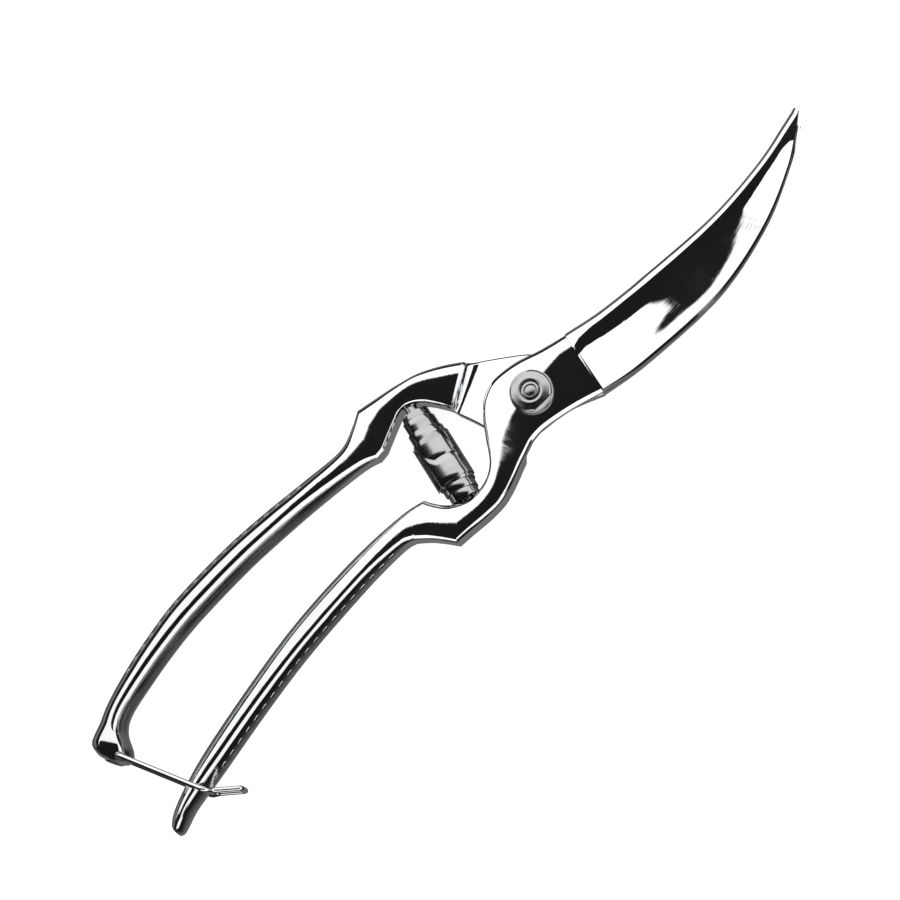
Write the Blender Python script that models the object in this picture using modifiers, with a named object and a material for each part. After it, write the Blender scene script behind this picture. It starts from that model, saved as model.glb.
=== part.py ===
"""Poultry shears: two forged levers crossed on a pivot bolt, a double volute spring and a wire catch.

The pivot's axis is Z and passes through the origin. The blades point to +X and the handles to -X.
The shears lie closed and latched, with the bolt head's flat face on z = 0. The front lever carries
the blade on top and the handle on the -Y side, and the rear lever the blade below and the +Y handle.
"""

import math

import bmesh
import bpy
from mathutils import Matrix, Vector
from mathutils.geometry import intersect_line_line_2d

MM = 0.001

# Driving dimensions, in millimetres.
BLADE_LENGTH = 102.5  # pivot to blade tip
HANDLE_LENGTH = 149.0  # pivot to the far end of the grips
THICKNESS = 8.0  # each forging at its grip and shoulder
GAP = 0.3  # between pieces that touch
BLADE_EDGE = 0.5  # thickness left at the cutting edge
BLADE_OVERLAP = 0.1  # how far the rear blade's back stands out past the front blade's edge
NOTCH_RADIUS = 3.2  # bone notch in the rear blade's edge
NOTCH_PLACE = 9.0  # from the blade's root to the notch's centre
NOTCH_Y = 0.6  # y of the notch's centre
BACK_AT_ROOT = 3.4  # thickness of each blade along its back
BACK_AT_TIP = 1.6
BLADE_BEVEL = (0.1, 0.1)

BOLT_RADIUS = 3.2
BOLT_END_RADIUS = BOLT_RADIUS - 0.85  # the end that the nut is screwed to
BOLT_END_CHAMFER = 0.5
BOLT_HEAD_RADIUS = BOLT_RADIUS + 3.4
BOLT_HEAD_CHAMFER = 0.4
SQUARE_NECK = 2 * BOLT_RADIUS + 0.4  # side of the neck that keeps the bolt from turning
NECK_LENGTH = 2.4
NUT_RADIUS = BOLT_END_RADIUS + 3.6
NUT_HEIGHT = 2.4
NUT_RIM = 1.0  # width of the flat ring round the nut's hole
NUT_CROWN = ((1.2, 0.35), (0.3, 0.95), (0.0, 1.6))  # inset from its side and drop from its top
NUT_FLATS = 2 * NUT_RADIUS - 3.0  # distance between the nut's two flats
FLAT_DEPTH = 1.1  # how far down the flats are milled

WIRE_RADIUS = 0.75
WIRE_BEND = 1.1  # from a corner of the wire's path to where its bend starts
KINK_TURN = math.radians(26)  # how far the thumb tab turns from the catch's straight run
TAB_LENGTH = 10.4
TAB_SPACING = 5.6  # between the centre lines of the tab's two wires
WIRE_END_DEPTH = 2.2  # how far each bent end reaches into the hinge hole

PEG_RADIUS = 1.7
PEG_SEAT = 2.6  # depth of the peg in its lever
PEG_REACH = 5.0  # length of the peg inside the spring

WAIST_SHARE = 0.45  # how far up the spring its waist sits, from the front lever's end
PEG_PLAY = 1.7  # between the peg and the spring's innermost turn
STRIP_THICKNESS = 0.32
STRIP_WIDTH = 7.0
TURNS = 4  # in each half of the spring
CROSSING = 0.2  # share of a turn in which the strip passes from one half to the other

# Heights. The catch's rear wire runs under the forgings, so they start above it.
REAR_FACE = 2 * WIRE_RADIUS + GAP
FRONT_FACE = REAR_FACE + THICKNESS
MIDDLE = (REAR_FACE + FRONT_FACE) / 2
REAR_HALF_TOP = MIDDLE - GAP / 2
FRONT_HALF_BASE = MIDDLE + GAP / 2
SPRING_RADIUS = MIDDLE - GAP / 2 - STRIP_THICKNESS / 2  # at the waist, which just clears the table

# Where the blades and grips start, measured from the pivot.
RICASSO = 16.8
SHOULDER = 50.0

GRIP_BEVEL = (2.3, 2.1)  # width and height of the chamfer along a grip's edges
NECK_BEVEL = (1.0, 0.9)
EDGE_BREAK = (0.2, 0.15)

HINGE = Vector((4.2 - HANDLE_LENGTH, 9.9))
# The front grip's outer edge on both sides of the latched catch: distance from the grip's end, and y.
LATCH_EDGE = ((20.3, -12.7), (9.3, -14.6))
CATCH_HEADING = math.radians(-67)  # direction of the latched catch from its hinge hole
SPRING_TOP = Vector((-26.0, 19.8))  # the spring's two ends, at the rear and the front lever
SPRING_FOOT = Vector((-31.9, -7.2))
TOP_RECESS = 2.0  # from the spring's end to the lever's edge behind it
FOOT_RECESS = 1.0


def blade_x(share):
    """x of a point at this share of the blade, from its root to its tip."""
    return RICASSO + share * (BLADE_LENGTH - RICASSO)


def grip_x(share):
    """x of a point at this share of the grip, from its shoulder to its end."""
    return -SHOULDER - share * (HANDLE_LENGTH - SHOULDER)


def end_x(distance):
    """x of a point this far in from the grips' ends."""
    return distance - HANDLE_LENGTH


def blade_back(share):
    """Thickness of a blade's back at this share of the blade."""
    return BACK_AT_ROOT + (BACK_AT_TIP - BACK_AT_ROOT) * max(share, 0)


def new_collection(name):
    collection = bpy.data.collections.new(name)
    bpy.context.scene.collection.children.link(collection)
    return collection


def clear_scene():
    for obj in list(bpy.data.objects):
        bpy.data.objects.remove(obj, do_unlink=True)


def metal(name, colour, roughness):
    material = bpy.data.materials.new(name)
    material.use_nodes = True
    shader = material.node_tree.nodes["Principled BSDF"]
    shader.inputs["Base Color"].default_value = (*colour, 1.0)
    shader.inputs["Metallic"].default_value = 1.0
    shader.inputs["Roughness"].default_value = roughness
    return material


def new_object(name, bm, collection, material=None, parent=None):
    """An object from a bmesh that is written in the world's millimetres."""
    origin = parent.location if parent else Vector()
    bmesh.ops.scale(bm, vec=(MM, MM, MM), verts=bm.verts)
    bmesh.ops.translate(bm, vec=-origin, verts=bm.verts)
    bmesh.ops.recalc_face_normals(bm, faces=bm.faces)
    mesh = bpy.data.meshes.new(name)
    bm.to_mesh(mesh)
    bm.free()
    obj = bpy.data.objects.new(name, mesh)
    collection.objects.link(obj)
    obj.parent = parent
    if material:
        mesh.materials.append(material)
    mesh.shade_smooth()
    mesh.set_sharp_from_angle(angle=math.radians(35))
    return obj


def axis_empty(name, place, collection):
    empty = bpy.data.objects.new(name, None)
    empty.empty_display_size = 10 * MM
    empty.location = Vector(place) * MM
    collection.objects.link(empty)
    return empty


def cutter(name, bm, collection):
    obj = new_object(name, bm, collection)
    obj.hide_render = True
    obj.display_type = "WIRE"
    return obj


def combine(obj, other, operation):
    modifier = obj.modifiers.new(f"{operation.lower()}_{other.name}", "BOOLEAN")
    modifier.operation = operation
    modifier.object = other


def rod(start, end, radius, segments=32):
    """A cylinder between two points."""
    start, end = Vector(start), Vector(end)
    bm = bmesh.new()
    bmesh.ops.create_cone(
        bm,
        cap_ends=True,
        segments=segments,
        radius1=radius,
        radius2=radius,
        depth=(end - start).length,
    )
    turn = Vector((0, 0, 1)).rotation_difference(end - start).to_matrix().to_4x4()
    bmesh.ops.transform(bm, matrix=Matrix.Translation((start + end) / 2) @ turn, verts=bm.verts)
    return bm


def box(centre, size):
    bm = bmesh.new()
    bmesh.ops.create_cube(bm, size=1.0)
    bmesh.ops.scale(bm, vec=size, verts=bm.verts)
    bmesh.ops.translate(bm, vec=centre, verts=bm.verts)
    return bm


def turned(name, profile, collection, material, segments=48):
    """A profile of (radius, height) points turned about the pivot's axis."""
    mesh = bpy.data.meshes.new(name)
    points = [(radius * MM, 0, height * MM) for radius, height in profile]
    mesh.from_pydata(points, [(i, i + 1) for i in range(len(points) - 1)], [])
    obj = bpy.data.objects.new(name, mesh)
    collection.objects.link(obj)
    mesh.materials.append(material)
    screw = obj.modifiers.new("turn", "SCREW")
    screw.axis = "Z"
    screw.steps = segments
    screw.render_steps = segments
    screw.use_merge_vertices = True
    screw.merge_threshold = 0.00001
    screw.use_smooth_shade = True
    return obj


# Levers. A station is a cut across the forging: its left point (towards +Y when the blade points to
# +X), its right point, the heights of its underside and top at those two points, and the width and
# height of the chamfers along its underside and its top.


def station(left, right, low, high, low_bevel, high_bevel):
    low = low if isinstance(low, tuple) else (low, low)
    high = high if isinstance(high, tuple) else (high, high)
    return (*left, *right, *low, *high, *low_bevel, *high_bevel)


def grip_station(left, right, bevel=GRIP_BEVEL):
    return station(left, right, REAR_FACE, FRONT_FACE, bevel, bevel)


def front_half(left, right):
    return station(left, right, FRONT_HALF_BASE, FRONT_FACE, EDGE_BREAK, NECK_BEVEL)


def rear_half(left, right):
    return station(left, right, REAR_FACE, REAR_HALF_TOP, NECK_BEVEL, EDGE_BREAK)


def front_blade(left, right, back):
    """A cut across the front blade, flat below and ground from its back, on the left, to its edge."""
    high = (FRONT_HALF_BASE + back, FRONT_HALF_BASE + BLADE_EDGE)
    return station(left, right, FRONT_HALF_BASE, high, BLADE_BEVEL, BLADE_BEVEL)


def rear_blade(left, right, back):
    """A cut across the rear blade, flat above and ground from its back, on the right, to its edge."""
    low = (REAR_HALF_TOP - BLADE_EDGE, REAR_HALF_TOP - back)
    return station(left, right, low, REAR_HALF_TOP, BLADE_BEVEL, BLADE_BEVEL)


def between(before, a, b, after, t):
    """The Catmull-Rom blend of four rows at t, from a to b."""
    blend = []
    for p, q, r, s in zip(before, a, b, after):
        blend.append(
            q + 0.5 * t * (r - p + t * (2 * p - 5 * q + 4 * r - s + t * (3 * (q - r) + s - p)))
        )
    return tuple(blend)


def smoothed(run, steps):
    """The run of stations with a smooth curve through them."""
    rows = []
    for i in range(len(run) - 1):
        before = run[max(i - 1, 0)]
        after = run[min(i + 2, len(run) - 1)]
        rows += [between(before, run[i], run[i + 1], after, k / steps) for k in range(steps)]
    return rows + [run[-1]]


def ring(row):
    """The eight corners of one station, in order round it."""
    xl, yl, xr, yr, low_l, low_r, high_l, high_r, lw, lh, hw, hh = row
    left, right = Vector((xl, yl)), Vector((xr, yr))
    across = right - left
    most = 0.36 * across.length
    across.normalize()
    lw, hw = min(lw, most), min(hw, most)

    def at(point, inset, height):
        place = point + across * inset
        return (place.x, place.y, height)

    return [
        at(left, 0, low_l + lh),
        at(left, lw, low_l),
        at(right, -lw, low_r),
        at(right, 0, low_r + lh),
        at(right, 0, high_r - hh),
        at(right, -hw, high_r),
        at(left, hw, high_l),
        at(left, 0, high_l - hh),
    ]


def loft(rings):
    """A closed skin over rings that have the same number of points."""
    bm = bmesh.new()
    loops = [[bm.verts.new(point) for point in points] for points in rings]
    count = len(loops[0])
    for first, second in zip(loops, loops[1:]):
        for i in range(count):
            j = (i + 1) % count
            bm.faces.new((first[i], first[j], second[j], second[i]))
    bm.faces.new(loops[0])
    bm.faces.new(reversed(loops[-1]))
    return bm


def forging(runs, steps=3):
    """The skin over runs of stations. A run ends where the forging has a step or a corner."""
    rows = []
    for run in runs:
        rows += smoothed(run, steps)
    return loft([ring(row) for row in rows])


def front_blade_run():
    outline = [
        # share of the blade and y of its back, then of its edge
        (0.995, 4.6, 1.0, 3.5),
        (0.937, 3.8, 0.954, 0.7),
        (0.797, 1.2, 0.853, -5.4),
        (0.595, -0.3, 0.669, -12.3),
        (0.379, 0.5, 0.420, -16.6),
        (0.148, 2.5, 0.123, -15.5),
        (0.0, 4.8, -0.04, -13.0),
    ]
    run = []
    for back_share, back_y, edge_share, edge_y in outline:
        left, right = (blade_x(back_share), back_y), (blade_x(edge_share), edge_y)
        run.append(front_blade(left, right, blade_back(back_share)))
    return run


def rear_blade_run():
    outline = [
        # share of the blade and y of its edge, then of its back
        (0.967, 1.5, 0.971, 0.9),
        (0.90, 0.2, 0.938, -0.9),
        (0.797, -1.8, 0.853, -5.3),
        (0.595, -3.3, 0.669, -12.2),
        (0.379, -2.5, 0.420, -16.5),
        (0.148, -0.5, 0.123, -15.4),
        (0.0, 1.8, -0.04, -12.9),
    ]
    run = []
    for edge_share, edge_y, back_share, back_y in outline:
        right = (blade_x(back_share), back_y - BLADE_OVERLAP)
        run.append(rear_blade((blade_x(edge_share), edge_y), right, blade_back(back_share)))
    return run[::-1]


def front_lever_shape():
    """The front lever from its blade tip, round the pivot and the spring, to its grip's end."""
    hub = [
        front_half((blade_x(0) - 0.5, 5.0), (blade_x(-0.04) - 0.5, -12.9)),
        front_half((9.4, 7.0), (6.2, -10.8)),
        front_half((2.3, 9.4), (0.0, -9.4)),
        front_half((-4.9, 10.3), (-4.9, -8.7)),
        front_half((-9.9, 8.6), (-7.9, -8.9)),
        front_half((-13.4, 5.5), (-10.9, -9.9)),
        front_half((-16.3, 1.6), (-15.3, -11.3)),
    ]
    neck_outline = [
        ((-16.6, 1.2), (-15.8, -11.5)),
        ((-18.9, -2.4), (-19.0, -12.8)),
        ((-21.0, -5.1), (-22.9, -14.2)),
        ((-23.7, -7.1), (-26.8, -15.0)),
        ((-27.1, -8.2), (-32.0, -15.0)),
        ((-31.0, -8.3), (-37.3, -14.5)),
        ((-34.1, -7.1), (-42.0, -14.2)),
    ]
    neck = [grip_station(left, right, NECK_BEVEL) for left, right in neck_outline]
    shoulder_outline = [
        ((-34.1, -7.1), (-42.0, -14.2)),
        ((-36.9, -5.1), (-44.2, -11.0)),
        ((-38.9, -2.4), (-46.6, -8.0)),
        ((-40.3, 0.3), (-49.6, -5.2)),
    ]
    shoulder = [grip_station(left, right, NECK_BEVEL) for left, right in shoulder_outline]
    latch_edge = [(end_x(distance), y) for distance, y in LATCH_EDGE]
    grip = [
        grip_station((-40.3, 0.3), (-49.6, -5.2), NECK_BEVEL),
        grip_station((-47.6, 2.1), (-54.0, -4.4), (1.7, 1.5)),
        grip_station((grip_x(0.13), 3.3), (grip_x(0.18), -4.7)),
        grip_station((grip_x(0.36), 2.2), (grip_x(0.40), -6.3)),
        grip_station((grip_x(0.565), -0.8), (grip_x(0.585), -8.9)),
        grip_station((end_x(21.7), -5.1), latch_edge[0]),
        grip_station((end_x(10.9), -8.4), latch_edge[1]),
        grip_station((end_x(4.6), -11.0), (end_x(4.1), -16.3)),
        grip_station((end_x(1.7), -12.8), (end_x(1.9), -16.8), (1.4, 1.8)),
        grip_station((end_x(0.8), -13.9), (end_x(0.9), -16.2), (0.6, 2.6)),
    ]
    return forging([front_blade_run(), hub, neck, shoulder[1:], grip[1:]])


def rear_lever_shape():
    """The rear lever from its grip's end, over the spring and round the pivot, to its blade tip."""
    grip = [
        grip_station((end_x(0.4), 13.2), (end_x(2.7), 8.6), (1.2, 2.6)),
        grip_station((end_x(0.0), 15.4), (end_x(5.0), 7.2), (1.8, 2.2)),
        grip_station((end_x(1.1), 18.6), (end_x(7.2), 9.1)),
        grip_station((end_x(6.1), 20.8), (end_x(9.6), 13.8)),
        grip_station((end_x(11.7), 23.2), (end_x(13.7), 16.6)),
        grip_station((end_x(20.2), 25.9), (end_x(22.5), 18.7)),
        grip_station((grip_x(0.685), 28.4), (grip_x(0.665), 20.6)),
        grip_station((grip_x(0.56), 30.2), (grip_x(0.55), 21.8)),
        grip_station((grip_x(0.377), 30.6), (grip_x(0.372), 22.2)),
        grip_station((grip_x(0.228), 29.7), (grip_x(0.230), 21.6)),
        grip_station((-59.7, 28.2), (-60.0, 20.6)),
        grip_station((-47.0, 26.7), (-46.3, 19.1), (1.7, 1.5)),
        grip_station((-39.4, 29.0), (-41.0, 17.7), NECK_BEVEL),
    ]
    shoulder_outline = [
        ((-36.0, 30.9), (-38.4, 18.0)),
        ((-27.9, 29.2), (-31.6, 21.0)),
        ((-22.9, 28.0), (-28.0, 22.3)),
        ((-18.5, 26.7), (-25.0, 21.8)),
        ((-14.9, 25.0), (-22.0, 19.5)),
        ((-10.9, 22.6), (-19.4, 15.6)),
        ((-6.3, 19.2), (-18.1, 13.0)),
    ]
    shoulder = [grip_station(left, right, NECK_BEVEL) for left, right in shoulder_outline]
    tang = [
        rear_half((-4.4, 18.0), (-17.8, 11.6)),
        rear_half((0.5, 14.4), (-16.1, 6.4)),
        rear_half((5.6, 10.4), (-14.4, 0.6)),
        rear_half((9.0, 7.0), (-11.6, -5.2)),
        rear_half((11.8, 5.2), (-6.6, -8.5)),
        rear_half((14.2, 3.8), (3.2, -10.0)),
        rear_half((blade_x(0) - 0.5, 2.2), (blade_x(-0.04) - 0.5, -12.9)),
    ]
    return forging([grip, shoulder, tang, rear_blade_run()])


def spring_axis():
    """The spring's waist, its direction towards the rear lever, and the lengths of its two halves."""
    top = Vector((*SPRING_TOP, MIDDLE))
    foot = Vector((*SPRING_FOOT, MIDDLE))
    waist = foot.lerp(top, WAIST_SHARE)
    return waist, (top - foot).normalized(), (top - waist).length, (waist - foot).length


def strip_edges(turn, upper, lower):
    """How far the strip's two edges stand from the spring's waist at this turn, 0 at the waist."""
    half_length = upper if turn >= 0 else lower
    start = STRIP_WIDTH + (half_length - STRIP_WIDTH) * abs(turn) / TURNS
    near = start - STRIP_WIDTH
    if abs(turn) < CROSSING:
        near = -STRIP_WIDTH + (near + STRIP_WIDTH) * abs(turn) / CROSSING
    return (near, start) if turn >= 0 else (-start, -near)


def spring_shape(segments=16):
    """A double volute: one strip wound outwards from one peg to the waist and inwards to the other."""
    waist, along, upper, lower = spring_axis()
    side = along.cross(Vector((0, 0, 1)))
    inner_radius = PEG_RADIUS + PEG_PLAY + STRIP_THICKNESS / 2
    rings = []
    for k in range(-TURNS * segments, TURNS * segments + 1):
        turn = k / segments
        angle = math.tau * turn
        out = side * math.cos(angle) + Vector((0, 0, 1)) * math.sin(angle)
        radius = SPRING_RADIUS + (inner_radius - SPRING_RADIUS) * abs(turn) / TURNS
        near, far = strip_edges(turn, upper, lower)
        inside = waist + out * (radius - STRIP_THICKNESS / 2)
        outside = waist + out * (radius + STRIP_THICKNESS / 2)
        rings.append(
            [
                inside + along * near,
                outside + along * near,
                outside + along * far,
                inside + along * far,
            ]
        )
    return loft(rings)


def peg_ends(seat, other, recess):
    """The ends of a peg that stands in the lever behind one end of the spring."""
    end = Vector((*seat, MIDDLE))
    out = (end - Vector((*other, MIDDLE))).normalized()
    return end - out * PEG_REACH, end + out * (recess + PEG_SEAT)


def with_round_corners(points, cut, steps=4):
    """The path with each corner replaced by a curve that starts and ends this far from it."""
    path = [points[0]]
    for before, corner, after in zip(points, points[1:], points[2:]):
        start = corner + (before - corner).normalized() * cut
        end = corner + (after - corner).normalized() * cut
        for k in range(steps + 1):
            t = k / steps
            path.append(start * (1 - t) ** 2 + corner * 2 * t * (1 - t) + end * t**2)
    return path + [points[-1]]


def catch_path():
    """The catch's centre line from one hinge end, over the front handle, round the tab and back."""
    run = Vector((math.cos(CATCH_HEADING), math.sin(CATCH_HEADING), 0))
    tab_heading = CATCH_HEADING + KINK_TURN
    tab = Vector((math.cos(tab_heading), math.sin(tab_heading), 0))
    hinge = Vector((*HINGE, 0))
    edge = [Vector((end_x(distance), y)) for distance, y in LATCH_EDGE]
    beyond = HINGE + run.xy * HANDLE_LENGTH
    kink = intersect_line_line_2d(HINGE, beyond, *edge).to_3d()
    rise = THICKNESS / 2 + GAP + WIRE_RADIUS
    narrow = TAB_SPACING / 2
    squeeze = rise - narrow  # the wires close in over as long a run as they have to move
    front = [
        (hinge, THICKNESS / 2 - WIRE_END_DEPTH),
        (hinge, rise),
        (kink, rise),
        (kink + tab * squeeze, narrow),
        (kink + tab * (TAB_LENGTH - WIRE_RADIUS), narrow),
    ]
    rear = [(place, -height) for place, height in reversed(front)]
    points = [place + Vector((0, 0, MIDDLE + height)) for place, height in front + rear]
    return with_round_corners(points, WIRE_BEND)


def make_catch(collection, material, parent):
    data = bpy.data.curves.new("wire_catch", "CURVE")
    data.dimensions = "3D"
    data.bevel_depth = WIRE_RADIUS * MM
    data.bevel_resolution = 2
    data.use_fill_caps = True
    path = catch_path()
    spline = data.splines.new("POLY")
    spline.points.add(len(path) - 1)
    for point, place in zip(spline.points, path):
        point.co = (*(place * MM - parent.location), 1)
    obj = bpy.data.objects.new("wire_catch", data)
    collection.objects.link(obj)
    data.materials.append(material)
    obj.parent = parent
    return obj


def make_bolt(collection, cutters, material):
    end = FRONT_FACE + GAP + NUT_HEIGHT
    shank_top = FRONT_FACE + GAP / 2
    head_top = REAR_FACE - GAP
    profile = [
        (0, end),
        (BOLT_END_RADIUS - BOLT_END_CHAMFER, end),
        (BOLT_END_RADIUS, end - BOLT_END_CHAMFER),
        (BOLT_END_RADIUS, shank_top),
        (BOLT_RADIUS, shank_top),
        (BOLT_RADIUS, head_top),
        (BOLT_HEAD_RADIUS, head_top),
        (BOLT_HEAD_RADIUS, BOLT_HEAD_CHAMFER),
        (BOLT_HEAD_RADIUS - BOLT_HEAD_CHAMFER, 0),
        (0, 0),
    ]
    bolt = turned("pivot_bolt", profile, collection, material)
    top = REAR_FACE + NECK_LENGTH
    bottom = head_top / 2
    neck = box((0, 0, (top + bottom) / 2), (SQUARE_NECK, SQUARE_NECK, top - bottom))
    combine(bolt, cutter("square_neck", neck, cutters), "UNION")
    return bolt


def make_nut(collection, cutters, material):
    base = FRONT_FACE + GAP
    top = base + NUT_HEIGHT
    hole = BOLT_END_RADIUS + GAP
    crown = [(NUT_RADIUS - inset, top - drop) for inset, drop in NUT_CROWN]
    profile = [(hole, top), (hole + NUT_RIM, top), *crown]
    profile += [(NUT_RADIUS, base), (hole, base), (hole, top)]
    nut = turned("pivot_nut", profile, collection, material)
    for name, side in (("nut_flat_left", 1), ("nut_flat_right", -1)):
        centre = (0, side * (NUT_FLATS + NUT_RADIUS) / 2, top)
        flat = box(centre, (3 * NUT_RADIUS, NUT_RADIUS, 2 * FLAT_DEPTH))
        combine(nut, cutter(name, flat, cutters), "DIFFERENCE")
    return nut


def main():
    clear_scene()
    parts = new_collection("poultry_shears")
    cutters = new_collection("cutters")
    chrome = metal("polished_chrome", (0.80, 0.80, 0.81), 0.07)
    nut_steel = metal("satin_steel", (0.62, 0.62, 0.61), 0.28)
    spring_steel = metal("spring_steel", (0.20, 0.20, 0.21), 0.25)
    wire_chrome = metal("bright_wire", (0.72, 0.72, 0.73), 0.12)

    blade_pivot = axis_empty("blade_pivot", (0, 0, 0), parts)
    catch_hinge = axis_empty("catch_hinge", (*HINGE, MIDDLE), parts)

    front = new_object("front_lever", front_lever_shape(), parts, chrome, blade_pivot)
    rear = new_object("rear_lever", rear_lever_shape(), parts, chrome)

    below, above = -THICKNESS, FRONT_FACE + THICKNESS
    pivot_hole = rod((0, 0, below), (0, 0, above), BOLT_RADIUS + GAP, 48)
    combine(front, cutter("pivot_hole", pivot_hole, cutters), "DIFFERENCE")
    side = SQUARE_NECK + 2 * GAP
    square_hole = box((0, 0, MIDDLE), (side, side, 2 * THICKNESS))
    combine(rear, cutter("square_hole", square_hole, cutters), "DIFFERENCE")
    hinge_hole = rod((*HINGE, below), (*HINGE, above), WIRE_RADIUS + GAP, 24)
    combine(rear, cutter("hinge_hole", hinge_hole, cutters), "DIFFERENCE")

    notch_x = RICASSO + NOTCH_PLACE
    notch = rod((notch_x, NOTCH_Y, below), (notch_x, NOTCH_Y, above), NOTCH_RADIUS, 32)
    combine(rear, cutter("bone_notch", notch, cutters), "DIFFERENCE")

    seats = (
        ("rear_spring_peg", rear, None, SPRING_TOP, SPRING_FOOT, TOP_RECESS),
        ("front_spring_peg", front, blade_pivot, SPRING_FOOT, SPRING_TOP, FOOT_RECESS),
    )
    for name, lever, parent, seat, other, recess in seats:
        tip, root = peg_ends(seat, other, recess)
        new_object(name, rod(tip, root, PEG_RADIUS, 24), parts, nut_steel, parent)
        deeper = root + (root - tip).normalized() * GAP
        hole = cutter(f"{name}_hole", rod(tip, deeper, PEG_RADIUS + GAP, 24), cutters)
        combine(lever, hole, "DIFFERENCE")

    make_bolt(parts, cutters, nut_steel)
    make_nut(parts, cutters, nut_steel)
    new_object("volute_spring", spring_shape(), parts, spring_steel)
    make_catch(parts, wire_chrome, catch_hinge)


main()
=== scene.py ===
import math

import bmesh
import bpy
import numpy as np
from mathutils import Matrix, Vector
from mathutils.geometry import intersect_line_line_2d


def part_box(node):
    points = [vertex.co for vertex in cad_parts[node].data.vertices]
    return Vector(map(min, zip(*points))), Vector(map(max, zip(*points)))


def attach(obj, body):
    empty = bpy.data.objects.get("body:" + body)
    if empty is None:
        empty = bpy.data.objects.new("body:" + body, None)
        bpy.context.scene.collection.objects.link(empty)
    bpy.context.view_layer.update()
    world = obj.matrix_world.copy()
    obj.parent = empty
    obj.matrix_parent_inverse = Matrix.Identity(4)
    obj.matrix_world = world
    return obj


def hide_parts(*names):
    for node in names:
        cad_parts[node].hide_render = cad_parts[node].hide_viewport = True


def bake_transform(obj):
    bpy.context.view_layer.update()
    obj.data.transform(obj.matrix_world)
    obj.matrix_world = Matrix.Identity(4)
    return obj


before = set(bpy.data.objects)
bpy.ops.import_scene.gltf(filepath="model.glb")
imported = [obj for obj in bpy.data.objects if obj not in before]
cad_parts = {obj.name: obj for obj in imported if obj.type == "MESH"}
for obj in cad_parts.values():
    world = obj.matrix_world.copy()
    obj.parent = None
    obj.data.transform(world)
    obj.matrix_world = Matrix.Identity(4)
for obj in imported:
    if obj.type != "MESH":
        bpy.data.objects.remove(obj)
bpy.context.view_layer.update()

# Lengths are in millimetres until a mesh is made. The pivot's axis is Z through the origin, the blades
# point to +X and the handles to -X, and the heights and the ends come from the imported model.
MM = 0.001


def node_box(node):
    low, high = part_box(node)
    return low / MM, high / MM


front_low, front_high = node_box("front_lever")
rear_low, rear_high = node_box("rear_lever")
nut_low, nut_high = node_box("pivot_nut")
bolt_high = node_box("pivot_bolt")[1]
catch_low, catch_high = node_box("wire_catch")

GAP = 0.3
REAR_FACE = rear_low.z
FRONT_FACE = front_high.z
MIDDLE = (REAR_FACE + FRONT_FACE) / 2
REAR_HALF_TOP = MIDDLE - GAP / 2
FRONT_HALF_BASE = MIDDLE + GAP / 2
BLADE_LENGTH = front_high.x
HANDLE_LENGTH = -rear_low.x
NUT_RADIUS = nut_high.x
RICASSO = 16.8
SHOULDER = 50.0
BLADE_EDGE = 0.5
BACK_AT_ROOT = 3.4
BACK_AT_TIP = 1.6

HINGE = Vector((4.2 - HANDLE_LENGTH, 9.9))
LATCH_EDGE = ((20.3, -12.7), (9.3, -14.6))
CATCH_HEADING = math.radians(-67)
KINK_TURN = math.radians(26)
WIRE_RADIUS = 0.75
TAB_LENGTH = 10.4
TAB_SPACING = 5.6
WIRE_END_DEPTH = 2.2

SPRING_TOP = Vector((-26.0, 19.8, MIDDLE))
SPRING_FOOT = Vector((-31.9, -7.2, MIDDLE))
WAIST_SHARE = 0.45
TURNS = 4
CROSSING = 0.2
STRIP_THICKNESS = 0.32
STRIP_WIDTH = 7.0
SPRING_RADIUS = MIDDLE - GAP / 2 - STRIP_THICKNESS / 2
PEG_RADIUS = 1.7
PEG_PLAY = 1.7
PEG_SEAT = 2.6
PEG_REACH = 5.0
TOP_RECESS = 2.0
FOOT_RECESS = 1.0

STUD_PITCH = 3.7
FRONT_STUDS = (-56, -131)
REAR_STUDS = (-58, -128)
STUD_SIZE = {"Length": 1.15, "Width": 0.85, "Height": 0.2}

PIVOT_HOLE_RADIUS = 3.5
NOTCH_RADIUS = 3.2
NOTCH_PLACE = (RICASSO + 9.0, 0.6)
BELOW_ALL = -8
ABOVE_ALL = 20
LEVER_HEIGHTS = (0, 12)


def blade_x(share):
    return RICASSO + share * (BLADE_LENGTH - RICASSO)


def grip_x(share):
    return -SHOULDER - share * (HANDLE_LENGTH - SHOULDER)


def end_x(distance):
    return distance - HANDLE_LENGTH


def blade_back(share):
    return BACK_AT_ROOT + (BACK_AT_TIP - BACK_AT_ROOT) * max(share, 0)


# --- Sections ---------------------------------------------------------------------------------------
# A cut across a lever runs between its left point, which lies towards +Y, and its right point. Its top
# is made of zones, counted inwards from each edge: a steep flank, a slope, a gentle fall, and a flat ridge
# between. These are the places of a cut's values.
LOW, HIGH, GENTLE_RIGHT = 4, 5, 6
UNDER_SLOPE, UNDER_FLANK, LIP = 12, 13, 14

RIGHT_ANGLES = ((77, 62), (49, 38))
LEFT_ANGLES = ((-28, -46), (-50, -66))
GENTLE_LOW = 5.5
TOP_ZONES = (5, 5, 8, 2, 8, 2, 5, 5, 5)
UNDER_ZONES = (4, 4, 4, 4, 3)
SIDE_STEPS = 3
TOP_STEPS = sum(TOP_ZONES)
UNDER_STEPS = sum(UNDER_ZONES)


def lerp(a, b, t):
    return a + (b - a) * t


def cut(left, right, gentle, slope, flank, low=REAR_FACE, high=FRONT_FACE, under=(0.9, 0.0), lip=1.8):
    """One cut across a lever. gentle, slope and flank are (right, left) widths of the top's zones, and
    lip is how far the ridge takes to turn into the gentle fall."""
    return (*left, *right, low, high, *gentle, *slope, *flank, *under, lip)


def gentle_high(width):
    """Angle at the outer end of a gentle zone, steeper the narrower the zone is."""
    return lerp(34, 8, min(max((width - 1.2) / 4.0, 0), 1))


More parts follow.
